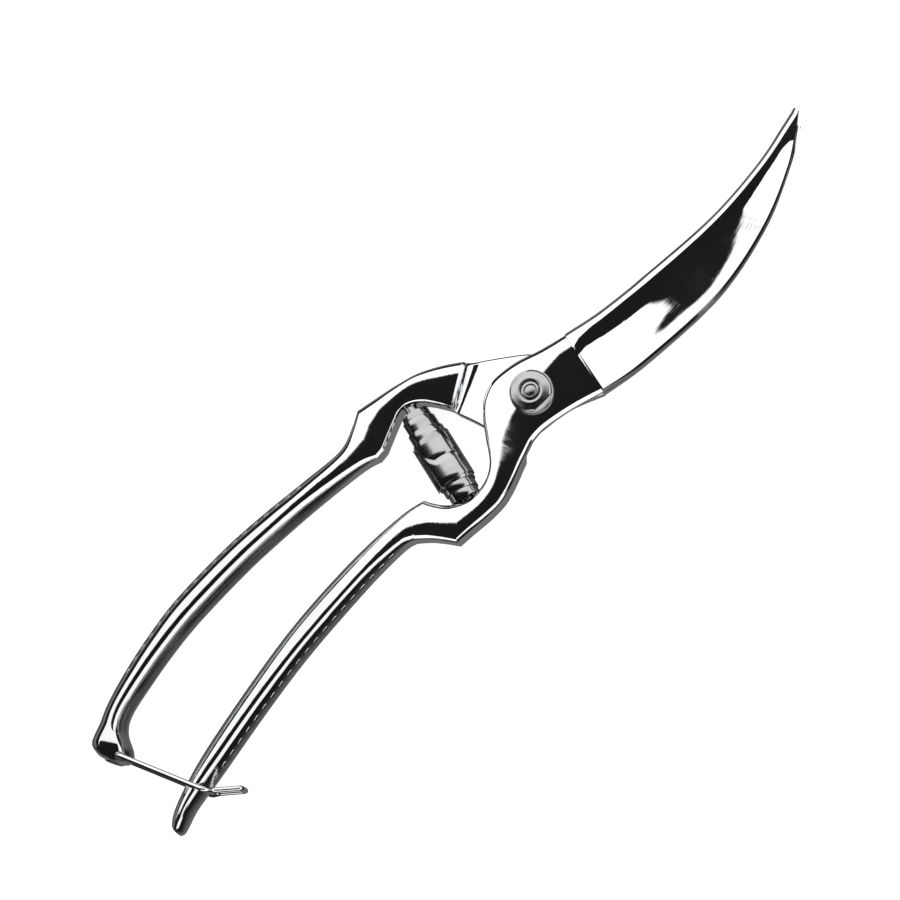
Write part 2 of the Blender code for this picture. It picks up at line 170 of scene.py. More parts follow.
def zone_angles(steps, start, end):
    return [lerp(start, end, (k + 0.5) / steps) for k in range(steps)]


def falls(widths, angles):
    """Heights at the ends of the strips between points across the top, from 0 at the first."""
    heights = [0.0]
    for width, angle in zip(widths, angles):
        heights.append(heights[-1] + width * math.tan(math.radians(angle)))
    return np.array(heights)


def top_of(row, across):
    """Distances from the right point and drops below the ridge of the points across the top."""
    gentle_r, gentle_l, slope_r, slope_l, flank_r, flank_l = row[GENTLE_RIGHT:UNDER_SLOPE]
    lip = row[LIP]
    zones = [flank_r, slope_r, gentle_r, lip, 0, 0.2, gentle_l, slope_l, flank_l]
    share = min(1.0, 0.93 * across / sum(zones))
    zones = [zone * share for zone in zones]
    zones[4] = across - sum(zones)
    ends = (*RIGHT_ANGLES, (gentle_high(gentle_r), GENTLE_LOW), (GENTLE_LOW, 0), (0, 0))
    ends += ((0, -GENTLE_LOW), (-GENTLE_LOW, -gentle_high(gentle_l)), *LEFT_ANGLES)
    widths, angles = [], []
    for zone, steps, (start, end) in zip(zones, TOP_ZONES, ends):
        widths += [zone / steps] * steps
        angles += zone_angles(steps, start, end)
    heights = falls(widths, angles)
    ridge = heights[sum(TOP_ZONES[:4])]
    return np.concatenate([[0], np.cumsum(widths)]), heights - ridge


def under_of(row, across):
    """Distances from the right point and rises above the base of the points across the underside."""
    slope, flank = row[UNDER_SLOPE:LIP]
    zones = [flank, slope, 0, slope, flank]
    share = min(1.0, 0.9 * across / max(sum(zones), 0.01))
    zones = [zone * share for zone in zones]
    zones[2] = across - sum(zones)
    ends = ((76, 57), (50, 35), (0, 0), (-35, -50), (-57, -76))
    widths, angles = [], []
    for zone, steps, (start, end) in zip(zones, UNDER_ZONES, ends):
        widths += [zone / steps] * steps
        angles += zone_angles(steps, start, end)
    heights = falls(widths, angles)
    return np.concatenate([[0], np.cumsum(widths)]), heights[UNDER_ZONES[0] + UNDER_ZONES[1]] - heights


def close_ring(left, right, top, under):
    """The ring of points from distances and heights along the top and the underside."""
    across = right - left
    width = np.hypot(*across)
    inward = -across / width

    def place(distance, height):
        point = right + inward * distance
        return (point[0], point[1], height)

    ring = [place(d, z) for d, z in zip(*top)]
    side = np.linspace(top[1][-1], under[1][-1], SIDE_STEPS + 1)[1:-1]
    ring += [place(width, z) for z in side]
    ring += [place(d, z) for d, z in zip(under[0][::-1], under[1][::-1])]
    side = np.linspace(under[1][0], top[1][0], SIDE_STEPS + 1)[1:-1]
    ring += [place(0, z) for z in side]
    return ring


def section(row):
    """The ring of points round one cut, squashed where the lever is too thin for its slopes."""
    left, right = np.array(row[:2]), np.array(row[2:4])
    low, high = row[LOW:GENTLE_RIGHT]
    across = np.hypot(*(right - left))
    top_d, top_h = top_of(row, across)
    under_d, under_h = under_of(row, across)
    deepest = -min(top_h.min(), 0) + max(under_h.max(), 0)
    share = min(1.0, 0.97 * (high - low) / max(deepest, 0.01))
    return close_ring(left, right, (top_d, high + top_h * share), (under_d, low + under_h * share))


def between(before, a, b, after, t):
    """The Catmull-Rom blend of four rows at t, from a to b."""
    p, q, r, s = (np.array(row) for row in (before, a, b, after))
    return q + 0.5 * t * (r - p + t * (2 * p - 5 * q + 4 * r - s + t * (3 * (q - r) + s - p)))


def smoothed(run, steps):
    rows = []
    for i in range(len(run) - 1):
        before = run[max(i - 1, 0)]
        after = run[min(i + 2, len(run) - 1)]
        rows += [between(before, run[i], run[i + 1], after, k / steps) for k in range(steps)]
    return rows + [np.array(run[-1])]


# --- Blades -----------------------------------------------------------------------------------------


def smooth_step(low, high, value):
    t = min(max((value - low) / (high - low), 0), 1)
    return t * t * (3 - 2 * t)


def graph(points, x):
    return float(np.interp(x, [p[0] for p in points], [p[1] for p in points]))


# By share of the blade from its root, these give widths in millimetres and angles in degrees. BAND_START
# gives the share of the blade where the steep band starts, by share of the ground face's width.
STRIP_AT = ((-0.04, 4.6), (0.0, 3.9), (0.03, 2.3), (0.08, 1.35), (0.2, 1.05), (0.6, 1.0), (1.0, 0.8))
WEDGE_AT = ((-0.02, 1.2), (0.02, 2.2), (0.08, 3.2), (0.2, 3.7), (0.55, 4.0), (0.66, 3.0), (0.75, 2.1),
            (0.85, 1.6), (0.88, 2.2), (0.905, 7.0))
CRESCENT_AT = ((0.25, 2.9), (0.37, 2.2), (0.51, 3.6), (0.58, 6.3), (0.67, 7.7), (0.81, 5.6), (0.9, 2.2),
               (1.0, 0))
BAND_START = ((0.0, 0.26), (0.3, 0.265), (0.42, 0.285), (0.6, 0.275), (0.75, 0.22), (1.0, 0.14))
WEDGE_ANGLE_AT = ((0.0, 15), (0.15, 15), (0.3, 12), (0.45, 8.5), (1.0, 9))
DARK_ANGLE = 8.0
BRIGHT_ANGLE = 1.6
BEVEL_ANGLE = 58
BEVEL_AT = ((0.0, 0.05), (0.12, 0.5), (0.3, 0.7), (0.7, 0.45), (1.0, 0.2))
BLADE_ZONES = (4, 28, 2, 5, 6)
BLADE_STEPS = 14
BLADE_SPANS = 6
BACK_ROUNDING = 1.3
STRIP_LIP = 0.12
STRIP_LIFT = 0.45
BACK_SET_OUT = 0.45
GROOVE_DEPTH = 0.32
GROOVE_SHARE = 0.006


def face_angle(share, distance, face):
    """How steeply the ground face falls at this distance from the strip along the blade's back."""
    wedge = graph(WEDGE_AT, share)
    wedge_angle = graph(WEDGE_ANGLE_AT, share)
    in_wedge = 1 - smooth_step(wedge - 0.35, wedge + 0.35, distance)
    crescent = graph(CRESCENT_AT, share)
    start = graph(BAND_START, distance / face)
    in_band = smooth_step(start - 0.035, start + 0.035, share)
    in_band *= 1 - smooth_step(-0.8, 0.8, distance - (face - crescent))
    dark = max(in_wedge, in_band)
    steep = lerp(DARK_ANGLE, wedge_angle, in_wedge)
    return lerp(BRIGHT_ANGLE, steep, dark)


def blade_section(back, edge, share, ground_zones, flat_steps):
    """Distances from the edge and heights over the blade's flat face, of its ground side and flat side."""
    width = math.dist(back, edge)
    room = min(1.0, 0.9 * width / (graph(STRIP_AT, share) + 1.2))
    strip = graph(STRIP_AT, share) * room
    rounding = BACK_ROUNDING * room
    bevel = graph(BEVEL_AT, share) * room
    lip = STRIP_LIP * room
    face = width - strip - rounding - bevel - lip
    widths, angles = [], []
    zones = (bevel, face, lip, strip, rounding)
    for i, (zone, steps) in enumerate(zip(zones, ground_zones)):
        for k in range(steps):
            widths.append(zone / steps)
            if i == 0:
                angles.append(BEVEL_ANGLE)
            elif i == 1:
                angles.append(face_angle(share, face * (1 - (k + 0.5) / steps), face))
            elif i == 2:
                angles.append(20)
            elif i == 3:
                angles.append(0)
            else:
                angles.append(lerp(-24, -62, (k + 0.5) / steps))
    heights = falls(widths, angles)
    strip_height = heights[sum(ground_zones[:4])]
    thickness = blade_back(share) + STRIP_LIFT * (1 - smooth_step(0.0, 0.12, share))
    heights = heights - strip_height
    deepest = -heights[: sum(ground_zones[:3])].min()
    squash = min(1.0, (thickness - BLADE_EDGE) / max(deepest, 0.01))
    heights = np.maximum(thickness + heights * squash, 0.3)
    distances = np.concatenate([[0], np.cumsum(widths)])
    return distances, heights, np.linspace(0, width, flat_steps + 1)


def front_blade_section(row):
    share, back, edge = row[0], np.array(row[1:3]), np.array(row[3:5])
    back = back + (back - edge) / math.dist(back, edge) * BACK_SET_OUT
    distances, heights, flat = blade_section(back, edge, share, BLADE_ZONES, UNDER_STEPS)
    base = FRONT_HALF_BASE
    return close_ring(back, edge, (distances, base + heights), (flat, base + flat * 0))


def groove(ring):
    """The ring sunk by the depth of the grinding wheel's run-in, apart from the strip along the back."""
    sunk = sum(BLADE_ZONES[:2])
    return [(x, y, z - GROOVE_DEPTH if 0 < i <= sunk else z) for i, (x, y, z) in enumerate(ring)]


def rear_blade_section(row):
    share, edge, back = row[0], row[1:3], row[3:5]
    distances, heights, flat = blade_section(back, edge, share, (2, 8, 1, 4, 4), TOP_STEPS)
    width = math.dist(back, edge)
    under = (width - distances[::-1], REAR_HALF_TOP - heights[::-1])
    return close_ring(edge, back, (flat, REAR_HALF_TOP + flat * 0), under)


# --- Levers -----------------------------------------------------------------------------------------

NECK = dict(slope=(0.85, 1.0), flank=(0.0, 0.3))
NECK_SLOPE_STEPS = 8


def front_half(left, right, gentle):
    return cut(left, right, (gentle, 0.3), (0.85, 0.9), (0.0, 0.25), low=FRONT_HALF_BASE, under=(0.15, 0))


def rear_half(left, right, gentle):
    return cut(left, right, (gentle, 0.3), (0.06, 0.4), (0, 0), high=REAR_HALF_TOP, lip=0.3)


def neck(left, right, gentle):
    return cut(left, right, (gentle, 0.2), **NECK)


def grip(left, right, gentle, part=1.0, high=FRONT_FACE):
    """A cut across a grip. part runs from 0 at the neck to 1 where the grip's section is full."""
    slope = (lerp(0.85, 0.9, part), lerp(1.0, 1.35, part))
    flank = (1.7 * part, lerp(0.3, 1.5, part))
    under = (lerp(0.9, 1.0, part), 0.4 * part)
    return cut(left, right, (gentle, 0.2), slope, flank, high=high, under=under, lip=lerp(1.8, 0.3, part))


def front_rows():
    outline = [
        # share of the blade and y of its back, then of its edge
        (0.996, 5.0, 1.0, 3.8),
        (0.937, 3.8, 0.954, 0.7),
        (0.797, 1.2, 0.853, -5.4),
        (0.595, -0.3, 0.669, -12.3),
        (0.379, 0.5, 0.420, -16.6),
        (0.148, 2.5, 0.123, -15.5),
        (GROOVE_SHARE, 4.8, GROOVE_SHARE - 0.04, -13.0),
    ]
    blade = [(s, blade_x(s), y, blade_x(t), v) for s, y, t, v in outline]
    hub = [
        front_half((blade_x(0) - 0.08, 5.0), (blade_x(-0.04) - 0.08, -12.98), 14.0),
        front_half((9.4, 7.0), (6.2, -10.8), 11.4),
        front_half((2.3, 9.4), (0.0, -9.4), 9.2),
        front_half((-4.9, 10.3), (-4.9, -8.7), 7.5),
        front_half((-9.9, 8.6), (-8.3, -8.9), 6.7),
        front_half((-13.4, 5.5), (-10.4, -9.5), 6.2),
        front_half((-16.4, 1.4), (-12.6, -10.3), 5.8),
    ]
    bend = [
        neck((-17.8, -0.6), (-15.6, -11.4), 5.2),
        neck((-19.2, -2.8), (-19.0, -12.8), 4.6),
        neck((-21.0, -5.1), (-22.9, -14.2), 3.9),
        neck((-23.7, -7.1), (-26.8, -15.0), 2.9),
        neck((-27.1, -8.2), (-32.0, -15.0), 2.4),
        neck((-31.0, -8.3), (-37.3, -14.5), 2.6),
        neck((-34.1, -7.1), (-42.0, -14.2), 3.2),
    ]
    shoulder = [
        bend[-1],
        neck((-36.9, -5.1), (-44.2, -11.0), 2.6),
        neck((-38.9, -2.4), (-46.6, -8.0), 2.4),
        neck((-40.3, 0.3), (-49.6, -5.2), 2.0),
    ]
    latch = [(end_x(distance), y) for distance, y in LATCH_EDGE]
    handle = [
        shoulder[-1],
        grip((-47.6, 2.1), (-54.0, -4.4), 1.8, 0.4),
        grip((grip_x(0.13), 3.3), (grip_x(0.18), -4.7), 1.1),
        grip((grip_x(0.36), 2.2), (grip_x(0.40), -6.3), 1.0),
        grip((grip_x(0.565), -0.8), (grip_x(0.585), -8.9), 0.95),
        grip((end_x(21.7), -5.1), latch[0], 0.95),
        grip((end_x(10.9), -8.4), latch[1], 0.9),
        grip((end_x(4.6), -11.0), (end_x(4.1), -16.3), 0.6, high=9.6),
        grip((end_x(1.7), -12.8), (end_x(1.9), -16.8), 0.4, high=8.4),
        grip((end_x(0.8), -13.9), (end_x(0.9), -16.2), 0.2, high=7.0),
    ]
    rings = [front_blade_section(row) for row in smoothed(blade, BLADE_STEPS)]
    rings.append(groove(front_blade_section((0.0, blade_x(0), 4.8, blade_x(-0.04), -13.0))))
    rings += hub_and_neck(hub + bend, len(hub) - 1, 12)
    for run, steps in ((shoulder, 8), (handle, 14)):
        rings += [section(row) for row in smoothed(run, steps)]
    return rings


def hub_and_neck(run, last_half, steps):
    """One smooth top over the half-thick hub and the full neck, whose underside slopes down past the hub."""
    rows = smoothed(run, steps)
    half, full = run[0], run[-1]
    rings = []
    for k, row in enumerate(rows):
        share = smooth_step(0, NECK_SLOPE_STEPS, k - last_half * steps)
        for value in (LOW, UNDER_SLOPE, UNDER_FLANK):
            row[value] = half[value] + (full[value] - half[value]) * share
        rings.append(section(row))
    return rings


def rear_rows():
    handle = [
        grip((end_x(0.4), 13.2), (end_x(2.7), 8.6), 0.4, high=7.2),
        grip((end_x(0.05), 15.4), (end_x(5.0), 7.2), 0.7, high=9.1),
        grip((end_x(1.1), 18.6), (end_x(7.2), 9.1), 0.9, high=9.75),
        grip((end_x(6.1), 20.8), (end_x(9.6), 13.8), 0.9),
        grip((end_x(11.7), 23.2), (end_x(13.7), 16.6), 0.9),
        grip((end_x(20.2), 25.9), (end_x(22.5), 18.7), 0.95),
        grip((grip_x(0.685), 28.4), (grip_x(0.665), 20.6), 1.0),
        grip((grip_x(0.56), 30.2), (grip_x(0.55), 21.8), 1.0),
        grip((grip_x(0.377), 30.6), (grip_x(0.372), 22.2), 1.05),
        grip((grip_x(0.228), 29.7), (grip_x(0.230), 21.6), 1.0),
        grip((-59.7, 28.2), (-60.0, 20.6), 1.4, 0.9),
        grip((-47.0, 26.7), (-46.3, 19.1), 2.3, 0.4),
        neck((-39.4, 29.0), (-41.0, 17.7), 4.6),
    ]
    shoulder = [
        neck((-36.0, 30.9), (-38.4, 18.0), 6.0),
        neck((-27.9, 29.2), (-31.6, 21.0), 4.9),
        neck((-22.9, 28.0), (-28.0, 22.3), 4.0),
        neck((-18.5, 26.7), (-25.0, 21.8), 4.3),
        neck((-14.9, 25.0), (-22.0, 19.5), 5.1),
        neck((-10.9, 22.6), (-19.4, 15.6), 6.9),
        neck((-7.0, 19.75), (-18.15, 13.2), 8.8),
    ]
    tang = [
        rear_half((-3.3, 17.2), (-17.7, 11.0), 0.3),
        rear_half((0.5, 14.4), (-16.1, 6.4), 0.3),
        rear_half((5.6, 10.4), (-14.4, 0.6), 0.3),
        rear_half((9.0, 7.0), (-11.6, -5.2), 0.3),
        rear_half((11.8, 5.2), (-6.9, -7.4), 0.3),
        rear_half((14.2, 3.8), (3.4, -9.0), 0.3),
        rear_half((blade_x(0) - 0.35, 2.2), (blade_x(-0.04) - 0.35, -12.95), 0.3),
    ]
    outline = [
        # share of the blade and y of its edge, then of its back
        (0.967, 1.5, 0.971, 0.8),
        (0.90, 0.2, 0.938, -1.0),
        (0.797, -1.8, 0.853, -5.4),
        (0.595, -3.3, 0.669, -12.3),
        (0.379, -2.5, 0.420, -16.6),
        (0.148, -0.5, 0.123, -15.5),
        (0.0, 1.8, -0.04, -13.0),
    ]
    blade = [(s, blade_x(s), y, blade_x(t), v) for s, y, t, v in outline][::-1]
    rings = [section(row) for row in smoothed(handle, 14)]
    rings += [section(row) for row in smoothed(shoulder, 12)]
    rings += [section(row) for row in cove(shoulder[-1], tang[0])]
    rings += [section(row) for row in smoothed(tang, 10)]
    rings += [rear_blade_section(row) for row in smoothed(blade, 12)]
    return rings


def cove(high_row, low_row, steps=12):
    """The rows of the hollow round from the thick shoulder down to the thin tang."""
    high_row, low_row = np.array(high_row), np.array(low_row)
    rows = []
    for k in range(1, steps):
        t = k / steps
        row = lerp(high_row, low_row, t)
        round_share = 1 - math.sqrt(1 - (1 - t) ** 2)
        row[HIGH] = lerp(low_row[HIGH], high_row[HIGH], round_share)
        row[GENTLE_RIGHT] = lerp(high_row[GENTLE_RIGHT], low_row[GENTLE_RIGHT], min(t * 3, 1))
        rows.append(row)
    return rows


# --- Meshes -----------------------------------------------------------------------------------------


def rounded_end(ring, outward, reach):
    """Shrinking rings that round off an end."""
    points = np.array(ring)
    centre = points.mean(axis=0)
    rings = []
    for turn in (25, 50, 70, 84):
        angle = math.radians(turn)
        shrunk = centre + (points - centre) * math.cos(angle) ** 0.6
        rings.append(shrunk + np.array(outward) * reach * math.sin(angle))
    return rings


def skin(name, rings, sharp=38, crisp=(), limits=None):
    """A closed mesh over rings, with a UV map in millimetres: along the piece, and round it. The rings
    whose numbers are in crisp keep a hard edge, and no point passes the limits."""
    rings = np.array(rings, dtype=float)
    if limits:
        rings = np.clip(rings, limits[0], limits[1])
    rows, count = rings.shape[:2]
    bm = bmesh.new()
    loops = [[bm.verts.new(point * MM) for point in ring] for ring in rings]
    uv = bm.loops.layers.uv.new("run")
    along = np.concatenate([[0], np.cumsum(np.linalg.norm(np.diff(rings.mean(axis=1), axis=0), axis=1))])
    round_it = np.linalg.norm(rings - np.roll(rings, -1, axis=1), axis=2)
    girth = np.concatenate([np.zeros((rows, 1)), np.cumsum(round_it, axis=1)], axis=1)
    for r in range(rows - 1):
        for i in range(count):
            j = (i + 1) % count
            face = bm.faces.new((loops[r][i], loops[r][j], loops[r + 1][j], loops[r + 1][i]))
            spots = ((r, i), (r, i + 1), (r + 1, i + 1), (r + 1, i))
            for corner, (row, step) in zip(face.loops, spots):
                corner[uv].uv = (along[row], girth[row][step])
    for ring, row in ((loops[0], 0), (loops[-1], rows - 1)):
        face = bm.faces.new(ring if row == 0 else ring[::-1])
        for corner in face.loops:
            corner[uv].uv = (along[row], 0)
    for row in crisp:
        for start, end in zip(loops[row], loops[row][1:] + loops[row][:1]):
            bm.edges.get((start, end)).smooth = False
    bmesh.ops.recalc_face_normals(bm, faces=bm.faces)
    return finished(name, bm, sharp)


def harden(bm, sharp):
    """Smooth faces, with a hard edge wherever the surface turns by more than this many degrees."""
    for face in bm.faces:
        face.smooth = True
    for edge in bm.edges:
        if len(edge.link_faces) == 2 and edge.calc_face_angle(0) > math.radians(sharp):
            edge.smooth = False


def finished(name, bm, sharp=38):
    mesh = bpy.data.meshes.new(name)
    harden(bm, sharp)
    bm.to_mesh(mesh)
    bm.free()
    obj = bpy.data.objects.new(name, mesh)
    bpy.context.scene.collection.objects.link(obj)
    return obj


def rod(name, start, end, radius, segments=48):
    start, end = Vector(start), Vector(end)
    bm = bmesh.new()
    length = (end - start).length
    bmesh.ops.create_cone(
        bm, cap_ends=True, segments=segments, radius1=radius, radius2=radius, depth=length
    )
    turn = Vector((0, 0, 1)).rotation_difference(end - start).to_matrix().to_4x4()
    place = Matrix.Scale(MM, 4) @ Matrix.Translation((start + end) / 2) @ turn
    bmesh.ops.transform(bm, matrix=place, verts=bm.verts)
    return finished(name, bm)


def cut_away(obj, cutters, sharp=38):
    """Cuts the pieces away, keeps the result as a plain mesh and removes the cutters."""
    for cutter in cutters:
        modifier = obj.modifiers.new(cutter.name, "BOOLEAN")
        modifier.operation = "DIFFERENCE"
        modifier.object = cutter
    graph_now = bpy.context.evaluated_depsgraph_get()
    mesh = bpy.data.meshes.new_from_object(obj.evaluated_get(graph_now))
    obj.modifiers.clear()
    obj.data = mesh
    for cutter in cutters:
        bpy.data.objects.remove(cutter)
    bm = bmesh.new()
    bm.from_mesh(mesh)
    harden(bm, sharp)
    bm.to_mesh(mesh)
    bm.free()
    return obj


def turned(name, profile, segments=128, sharp=30):
    """A closed profile of (radius, height) points turned about the pivot's axis."""
    bm = bmesh.new()
    rings = []
    for radius, height in profile:
        if radius < 1e-6:
            rings.append([bm.verts.new((0, 0, height * MM))])
            continue
        ring = []
        for k in range(segments):
            angle = math.tau * k / segments
            x, y = radius * math.cos(angle), radius * math.sin(angle)
            ring.append(bm.verts.new((x * MM, y * MM, height * MM)))
        rings.append(ring)
    for lower, upper in zip(rings, rings[1:]):
        for k in range(segments):
            j = (k + 1) % segments
            if len(lower) == 1:
                bm.faces.new((lower[0], upper[k], upper[j]))
            elif len(upper) == 1:
                bm.faces.new((lower[k], lower[j], upper[0]))
            else:
                bm.faces.new((lower[k], lower[j], upper[j], upper[k]))
    bmesh.ops.remove_doubles(bm, verts=bm.verts, dist=1e-7)
    bmesh.ops.recalc_face_normals(bm, faces=bm.faces)
    return finished(name, bm, sharp)


# --- Materials --------------------------------------------------------------------------------------


class Tree:
    """Short ways to add nodes and links to a material."""

    def __init__(self, name, colour, metallic, roughness):
        self.material = bpy.data.materials.new(name)
        self.material.use_nodes = True
        self.tree = self.material.node_tree
        self.shader = self.tree.nodes["Principled BSDF"]
        self.shader.inputs["Base Color"].default_value = (*colour, 1)
        self.shader.inputs["Metallic"].default_value = metallic
        self.shader.inputs["Roughness"].default_value = roughness

    def add(self, kind, **values):
        node = self.tree.nodes.new(kind)
        for key, value in values.items():
            setattr(node, key, value)
        return node

    def link(self, source, target):
        self.tree.links.new(source, target)

    def stretched(self, coordinates, scale):
        node = self.add("ShaderNodeMapping")
        node.inputs["Scale"].default_value = scale
        self.link(coordinates, node.inputs["Vector"])
        return node.outputs["Vector"]

    def noise(self, vector, scale, detail=2.0, roughness=0.5):
        node = self.add("ShaderNodeTexNoise")
        node.inputs["Scale"].default_value = scale
        node.inputs["Detail"].default_value = detail
        node.inputs["Roughness"].default_value = roughness
        self.link(vector, node.inputs["Vector"])
        return node.outputs["Fac"]

    def ranged(self, value, low, high, start=0.0, end=1.0):
        node = self.add("ShaderNodeMapRange")
        node.inputs["From Min"].default_value = start
        node.inputs["From Max"].default_value = end
        node.inputs["To Min"].default_value = low
        node.inputs["To Max"].default_value = high
        self.link(value, node.inputs["Value"])
        return node.outputs["Result"]

    def math(self, operation, a, b):
        node = self.add("ShaderNodeMath", operation=operation)
        for socket, value in zip(node.inputs, (a, b)):
            if isinstance(value, (int, float)):
                socket.default_value = value
            else:
                self.link(value, socket)
        return node.outputs[0]

    def bump(self, height, strength, distance, normal=None):
        node = self.add("ShaderNodeBump")
        node.inputs["Strength"].default_value = strength
        node.inputs["Distance"].default_value = distance
        self.link(height, node.inputs["Height"])
        if normal is not None:
            self.link(normal, node.inputs["Normal"])
        return node.outputs["Normal"]


CHROME = (0.86, 0.87, 0.88)
# The grips' chrome colour is painted shade: darker than CHROME so that the grips' reflections come out
# dimmer.
GRIP_PAINTED_SHADE_CHROME = (0.69, 0.70, 0.71)


def polished_chrome():
    """Bright plate over polished steel, with painted shade on the grips, whose chrome is darker to dim their
    reflections: fine belt marks across the hub and neck and along the blades and grips, and a coarser
    brushing on the rear grip's inner flank."""
    t = Tree("polished_chrome", CHROME, 1.0, 0.05)
    run = t.add("ShaderNodeUVMap", uv_map="run").outputs["UV"]
    place = t.add("ShaderNodeTexCoord").outputs["Object"]
    xyz = t.add("ShaderNodeSeparateXYZ")
    t.link(place, xyz.inputs["Vector"])
    uv = t.add("ShaderNodeSeparateXYZ")
    t.link(run, uv.inputs["Vector"])
    # on_grip marks the grips: it carries the painted shade there and also weights the rear grip's brushing.
    on_grip = t.ranged(xyz.outputs["X"], 1.0, 0.0, -0.075, -0.05)
    on_hub = t.math("MULTIPLY", t.ranged(xyz.outputs["X"], 1.0, 0.0, 0.016, 0.018),
                    t.ranged(xyz.outputs["X"], 0.0, 1.0, -0.05, -0.04))
    across = t.noise(t.stretched(run, (1.7, 0.2, 1.0)), 1.0, 3.0, 0.65)
    lengthwise = t.noise(t.stretched(run, (0.12, 1.9, 1.0)), 1.0, 3.0, 0.65)
    marks = t.add("ShaderNodeMix", data_type="FLOAT")
    t.link(on_hub, marks.inputs[0])
    t.link(lengthwise, marks.inputs[2])
    t.link(across, marks.inputs[3])
    ripple = t.noise(t.stretched(run, (0.4, 0.12, 1.0)), 1.0, 1.0, 0.5)
    fine = t.bump(marks.outputs[0], 1.0, 0.000011)
    t.link(t.bump(ripple, 1.0, 0.000012, fine), t.shader.inputs["Normal"])
    # Painted shade: the grips take the darker chrome colour, which dims their reflections.
    grip_painted_shade = t.add("ShaderNodeMix", data_type="RGBA")
    t.link(on_grip, grip_painted_shade.inputs[0])
    grip_painted_shade.inputs[6].default_value = (*CHROME, 1)
    grip_painted_shade.inputs[7].default_value = (*GRIP_PAINTED_SHADE_CHROME, 1)
    t.link(grip_painted_shade.outputs[2], t.shader.inputs["Base Color"])
    haze = t.ranged(t.noise(place, 90.0, 3.0, 0.6), 0.03, 0.075, 0.3, 0.7)
    inner = t.math("MULTIPLY", t.ranged(uv.outputs["Y"], 1.0, 0.0, 4.6, 5.4),
                   t.ranged(xyz.outputs["Y"], 0.0, 1.0, 0.008, 0.011))
    inner = t.math("MULTIPLY", inner, on_grip)
    brushed = t.noise(t.stretched(run, (0.03, 2.6, 1.0)), 1.0, 3.0, 0.7)
    brushed = t.math("MULTIPLY", t.ranged(brushed, 0.06, 0.5, 0.42, 0.6), inner)
    t.link(t.math("MAXIMUM", haze, brushed), t.shader.inputs["Roughness"])
    return t.material


def satin_steel():
    """Lathe-turned steel: fine rings round the pivot's axis."""
    t = Tree("satin_steel", (0.46, 0.46, 0.46), 1.0, 0.2)
    t.shader.inputs["Anisotropic"].default_value = 0.85
    tangent = t.add("ShaderNodeTangent", direction_type="RADIAL", axis="Z")
    t.link(tangent.outputs["Tangent"], t.shader.inputs["Tangent"])
    place = t.add("ShaderNodeTexCoord").outputs["Object"]
    flat = t.add("ShaderNodeVectorMath", operation="MULTIPLY")
    flat.inputs[1].default_value = (1, 1, 0)
    t.link(place, flat.inputs[0])
    radius = t.add("ShaderNodeVectorMath", operation="LENGTH")
    t.link(flat.outputs["Vector"], radius.inputs[0])
    rings = t.add("ShaderNodeTexNoise", noise_dimensions="1D")
    rings.inputs["Scale"].default_value = 9000.0
    rings.inputs["Detail"].default_value = 2.0
    t.link(radius.outputs["Value"], rings.inputs["W"])
    t.link(t.bump(rings.outputs["Fac"], 0.6, 0.000004), t.shader.inputs["Normal"])
    t.link(t.ranged(t.noise(place, 700.0, 3.0), 0.15, 0.27, 0.3, 0.7), t.shader.inputs["Roughness"])
    return t.material


def spring_steel():
    """Dark tempered strip with lines drawn along its length and a faint straw and blue temper tint."""
    t = Tree("spring_steel", (0.2, 0.2, 0.21), 1.0, 0.2)
    run = t.add("ShaderNodeUVMap", uv_map="run").outputs["UV"]
    lines = t.noise(t.stretched(run, (0.04, 7.0, 1.0)), 1.0, 3.0, 0.6)
    t.link(t.bump(lines, 1.0, 0.000002), t.shader.inputs["Normal"])
    tint = t.add("ShaderNodeValToRGB")
    tint.color_ramp.elements[0].color = (0.28, 0.29, 0.31, 1)
    tint.color_ramp.elements[1].color = (0.62, 0.61, 0.59, 1)
    t.link(t.noise(t.stretched(run, (0.02, 0.25, 1.0)), 1.0, 2.0), tint.inputs["Fac"])
    t.link(tint.outputs["Color"], t.shader.inputs["Base Color"])
    t.link(t.ranged(lines, 0.1, 0.2, 0.3, 0.7), t.shader.inputs["Roughness"])
    return t.material


def bright_wire():
    """Drawn wire with fine die lines along it."""
    t = Tree("bright_wire", (0.78, 0.79, 0.80), 1.0, 0.09)
    run = t.add("ShaderNodeUVMap", uv_map="run").outputs["UV"]
    lines = t.noise(t.stretched(run, (0.06, 5.0, 1.0)), 1.0, 2.0, 0.5)
    t.link(t.bump(lines, 1.0, 0.000004), t.shader.inputs["Normal"])
    t.link(t.ranged(lines, 0.06, 0.16, 0.3, 0.7), t.shader.inputs["Roughness"])
    return t.material


# --- Spring -----------------------------------------------------------------------------------------


def spring_axis():
    """The waist, the way from foot to top, and the lengths above and below the waist."""
    along = (SPRING_TOP - SPRING_FOOT).normalized()
    waist = SPRING_FOOT.lerp(SPRING_TOP, WAIST_SHARE)
    return waist, along, (SPRING_TOP - waist).length, (waist - SPRING_FOOT).length


def strip_edges(turn, upper, lower):
    """How far the strip's two edges stand from the waist at this turn, which is 0 at the waist."""
    half_length = upper if turn >= 0 else lower
    drawn_out = min(max(abs(turn) - 1, 0) / (TURNS - 1.7), 1)
    start = STRIP_WIDTH + (half_length - STRIP_WIDTH) * drawn_out
    near = start - STRIP_WIDTH
    if abs(turn) < CROSSING:
        near = -STRIP_WIDTH + (near + STRIP_WIDTH) * abs(turn) / CROSSING
    return (near, start) if turn >= 0 else (-start, -near)


